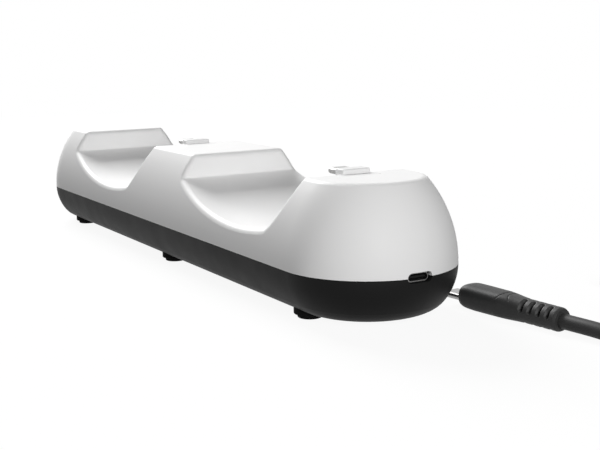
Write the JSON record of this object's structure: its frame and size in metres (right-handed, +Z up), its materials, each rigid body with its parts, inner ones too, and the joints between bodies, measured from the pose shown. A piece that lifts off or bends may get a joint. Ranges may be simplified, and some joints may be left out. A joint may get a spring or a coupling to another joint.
{
  "type": "controller charging dock",
  "caption": "Long low charging dock: white top shell with scooped bays and a deck connector at each, black base on rubber feet, and a loose power cable wound beside it.",
  "frame": {"origin": "on the table under the middle of the dock's footprint, the loose cable left out", "axes": "+X along the dock towards its power socket, -Y the front, +Z up"},
  "size_m": [0.425, 0.1519, 0.0541],
  "materials": {
    "white_shell": "satin white moulded plastic",
    "white_insert": "satin white moulded plastic",
    "black_shell": "fine textured black moulded plastic",
    "black_rubber": "soft black rubber",
    "zinc_screw": "zinc plated steel",
    "ballast_steel": "zinc plated steel plate",
    "connector_metal": "nickel plated drawn steel",
    "contact_plastic": "black insulator",
    "green_board": "green solder mask",
    "black_component": "moulded component body",
    "capacitor_can": "bare aluminium can",
    "cream_socket": "cream nylon",
    "harness_jacket": "thin black jacket",
    "cable_grip": "satin charcoal moulding",
    "cable_jacket": "satin charcoal jacket"
  },
  "bodies": {
    "root": {"board_screws": "zinc_screw", "board_sockets": "cream_socket", "capacitors": "capacitor_can", "case_screws": "zinc_screw", "charge_controllers": "black_component", "connector_screws": "zinc_screw", "far_ballast_plate": "ballast_steel", "inductors": "black_component", "lower_shell": "black_shell", "main_board": "green_board", "mid_connector_base": "white_insert", "mid_connector_board": "green_board", "mid_contact_carrier": "contact_plastic", "mid_harness": "harness_jacket", "mid_plug_shell": "connector_metal", "near_ballast_plate": "ballast_steel", "near_connector_base": "white_insert", "near_connector_board": "green_board", "near_contact_carrier": "contact_plastic", "near_harness": "harness_jacket", "near_plug_shell": "connector_metal", "port_board": "green_board", "port_board_screws": "zinc_screw", "port_harness": "harness_jacket", "power_cord": "cable_jacket", "power_cord_coil": "cable_jacket", "power_cord_tail": "cable_jacket", "power_plug_grip": "cable_grip", "power_plug_insert": "contact_plastic", "power_plug_shell": "connector_metal", "receptacle_shell": "connector_metal", "receptacle_tongue": "contact_plastic", "rubber_feet": "black_rubber", "upper_shell": "white_shell", "usb_a_grip": "cable_grip", "usb_a_insert": "contact_plastic", "usb_a_shell": "connector_metal"}
  },
  "joints": []
}
